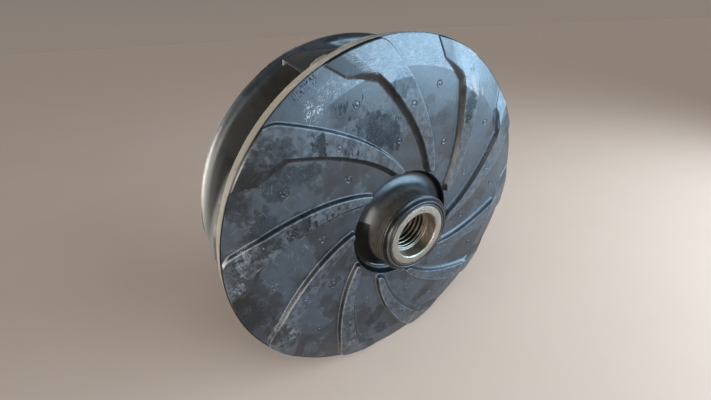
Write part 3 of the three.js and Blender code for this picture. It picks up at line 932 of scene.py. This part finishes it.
def tan_rims(n):
    """Tan dirt on the near rim all over, and faintly along the far one's outer edge, with a dark seam."""
    near = n.product(
        n.band(n.y, BACK_RIM_EDGE + 0.0004, BACK_INNER + 0.0004, 0.0004),
        n.step(n.radius, RIM - 0.0012, RIM - 0.0006))
    far = n.product(
        n.band(n.y, FRONT_RIM_EDGE - 0.0025, FRONT_RIM_EDGE + 0.0005, 0.001),
        n.step(n.radius, RIM - 0.003, RIM - 0.001))
    rim = n.largest(near, n.product(far, 0.25))
    tan = n.mix(n.step(n.noise(70, 4, 0.6), 0.35, 0.65), TAN, DARK_TAN)
    tan = n.mix(n.step(n.x, -0.13, -0.27), tan, SHADED_TAN)
    tan = n.mix(n.step(n.radius, RIM + 0.0002, RIM + 0.0008), tan, FLASH_TAN)
    n.paint(rim, n.step(n.noise(40, 5, 0.65), 0.20, 0.45, 0.6, 1), tan)
    seam = n.product(n.band(n.radius, RIM - 0.0022, RIM - 0.0010, 0.0004), n.hub_side)
    n.paint(seam, 0.8, SEAM)
    return rim, seam


def rubber_material():
    """Black rubber with a dried grey film, dark patches, scratches and scuffs, and tan dirt on its rims."""
    n = Rubber()
    n.colour = n.mix(n.step(n.blotches, 0.3, 0.7), BLACK_RUBBER, GREY_RUBBER)
    film = dried_film(n)
    walls = vane_sides(n)
    dark = dark_marks(n)
    scuffs = scuffs_and_scratches(n)
    frost(n, walls)
    chalk = chalk_and_specks(n)
    pocket, shaded_flare_side = pocket_and_flare(n)
    boss = dusty_boss(n, shaded_flare_side)
    passage, ends, far_round = passages_and_ends(n)
    rim, seam = tan_rims(n)
    n.feed(n.shader.inputs["Base Color"], n.colour)

    # Dust, with the painted light in the passages and on the far rim, is rough, and the collar is the
    # smoothest
    rougher = n.largest(rim, chalk, scuffs, boss, far_round, passage)
    collar = n.product(
        n.step(n.radius, 0.0820, 0.0812), n.step(n.y, DRIVE_END + 0.0125, DRIVE_END + 0.0115))
    rough = n.weighted(
        n.step(n.blotches, 0.3, 0.75, 0.26, 0.38), (film, 0.08), (rougher, 0.14),
        (n.product(pocket, n.outside(boss)), 0.05), (rim, 0.35), (collar, -0.12), (dark, 0.2))
    n.feed(n.shader.inputs["Roughness"], rough)

    # Where the rubber shows no sheen, a metallic share lets it mirror no more than its own black: on the dark
    # marks and the seam, and as painted shade in the collar's groove, the pocket's corner, the flare's lower
    # left and the pumping vanes' ends
    groove_shade = n.product(
        n.band(n.radius, 0.0742, 0.0788, 0.0006), n.step(n.y, DRIVE_END + 0.0088, DRIVE_END + 0.0080))
    corner = n.product(
        n.band(n.radius, POCKET_FOOT - 0.0015, POCKET + 0.0008, 0.002),
        n.step(n.y, POCKET_FLOOR + 0.004, POCKET_FLOOR), n.step(n.y, BACK_FACE - 0.002, BACK_FACE + 0.002))
    dull = n.largest(dark, corner, seam, n.product(ends, 0.7), shaded_flare_side, groove_shade)
    n.feed(n.shader.inputs["Metallic"], n.product(dull, 0.8))

    wavy = n.noise(14, 2, 0.5)
    height = n.weighted(n.product(n.grain, 0.12), (n.mottle, 0.35), (wavy, 1.6), (dark, -0.2))
    n.bumps(height, 0.30, 0.0012)
    return n.material


# Both in pixels of the photo
PHOTO_WIDTH = 711
FOCAL_LENGTH = 300


def place_camera():
    """The camera at the photo's viewing angle."""
    data = bpy.data.cameras.new("camera")
    data.sensor_width = 36.0
    data.lens = data.sensor_width * FOCAL_LENGTH / PHOTO_WIDTH
    data.clip_start = 0.01
    camera = bpy.data.objects.new("camera", data)
    camera.location = (-0.3351, -0.4611, 0.3510)
    camera.rotation_euler = [math.radians(a) for a in (60.057, 2.696, -32.329)]
    bpy.context.scene.collection.objects.link(camera)
    bpy.context.scene.camera = camera


LIGHT_DISTANCE = 2.3
# Angle round the object from +X towards +Y, foot above the floor, width and height
WINDOW = (-49.5, 0.26, (2.35, 1.60))
SIDE_WALL = (-149, 0.16, (2.4, 1.3))
BACK_WALL = (152, 0.05, (2.4, 1.2))


def soft_light(name, wall, watts, colour):
    """An upright rectangle of light that faces the axis, at a wall's angle, height and size."""
    turn, foot, (width, height) = wall
    turn = math.radians(turn)
    level = CAD_LOW.z + foot + height / 2
    data = bpy.data.lights.new(name, "AREA")
    data.shape = "RECTANGLE"
    data.size, data.size_y = width, height
    data.energy = watts
    data.color = colour
    light = bpy.data.objects.new(name, data)
    light.location = (LIGHT_DISTANCE * math.cos(turn), LIGHT_DISTANCE * math.sin(turn), level)
    light.rotation_euler = (Vector((0, 0, level)) - light.location).to_track_quat("-Z", "Y").to_euler()
    light.visible_camera = False
    bpy.context.scene.collection.objects.link(light)
    return light


def overhead_light(name):
    """A soft, slightly warm light from above."""
    data = bpy.data.lights.new(name, "SUN")
    data.energy = 1.23
    data.angle = math.radians(80)
    data.color = (1.0, 0.97, 0.93)
    light = bpy.data.objects.new(name, data)
    light.rotation_euler = (math.radians(25), math.radians(-20), 0)
    bpy.context.scene.collection.objects.link(light)
    return light


def lit_by(floor, name, state, lights):
    """Make lights reach only the floor, with the state INCLUDE, or all but the floor, with EXCLUDE."""
    group = bpy.data.collections.new(name)
    group.objects.link(floor)
    group.collection_objects[0].light_linking.link_state = state
    for light in lights:
        light.light_linking.receiver_collection = group


def room():
    """The room's own dim light, warm near the floor and cool above."""
    world = bpy.data.worlds.new("studio")
    world.use_nodes = True
    tree = world.node_tree
    kinds = ("TexCoord", "SeparateXYZ", "MapRange", "Mix")
    place, split, height, sky = (tree.nodes.new(f"ShaderNode{kind}") for kind in kinds)
    background = tree.nodes["Background"]
    sky.data_type = "RGBA"
    height.inputs["From Min"].default_value = 0.02
    height.inputs["From Max"].default_value = 0.45
    sky.inputs["A"].default_value = (0.255, 0.215, 0.185, 1)
    sky.inputs["B"].default_value = (0.135, 0.150, 0.165, 1)
    background.inputs["Strength"].default_value = 1
    for out, into in (
        (place.outputs["Generated"], split.inputs[0]),
        (split.outputs[2], height.inputs["Value"]),
        (height.outputs["Result"], sky.inputs["Factor"]),
        (sky.outputs["Result"], background.inputs["Color"]),
    ):
        tree.links.new(out, into)
    bpy.context.scene.world = world


def studio():
    """A pale floor lit by itself, a cool window at the front right, pale walls at the left, a dim room."""
    reach = 40
    corners = [(-reach, -reach), (reach, -reach), (reach, reach), (-reach, reach)]
    floor = mesh_object("floor", [(x, y, CAD_LOW.z) for x, y in corners], [[0, 1, 2, 3]])
    floor.data.materials.append(floor_material())
    floor_window = soft_light("floor_window", WINDOW, 128, (0.73, 0.88, 1.0))
    walls = [
        soft_light("window", WINDOW, 163, (0.46, 0.74, 1.0)),
        soft_light("side_wall", SIDE_WALL, 70, (1.0, 0.96, 0.90)),
        soft_light("back_wall", BACK_WALL, 105, (1.0, 0.95, 0.86)),
    ]
    lit_by(floor, "not_floor", "EXCLUDE", walls)
    lit_by(floor, "floor_only", "INCLUDE", [overhead_light("floor_fill"), floor_window])
    room()


place_camera()
bpy.context.scene.view_settings.view_transform = "Standard"

rubber = rubber_material()
steel = steel_material()

makers = [back_shroud, front_shroud, hub, inner_hub, moulding_marks, rim_flash]
rubber_pieces = [make() for make in makers] + [pumping_vane(i) for i in range(PUMPING_VANES)]
finished = [(piece, nodes, rubber, "rubber") for piece, nodes in rubber_pieces]
finished.append((*steel_insert(), steel, "hub_steel"))
for piece, nodes, material, slot in finished:
    piece.data.materials.append(material)
    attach(piece, "root")
    if nodes:
        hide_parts(*nodes)

studio()
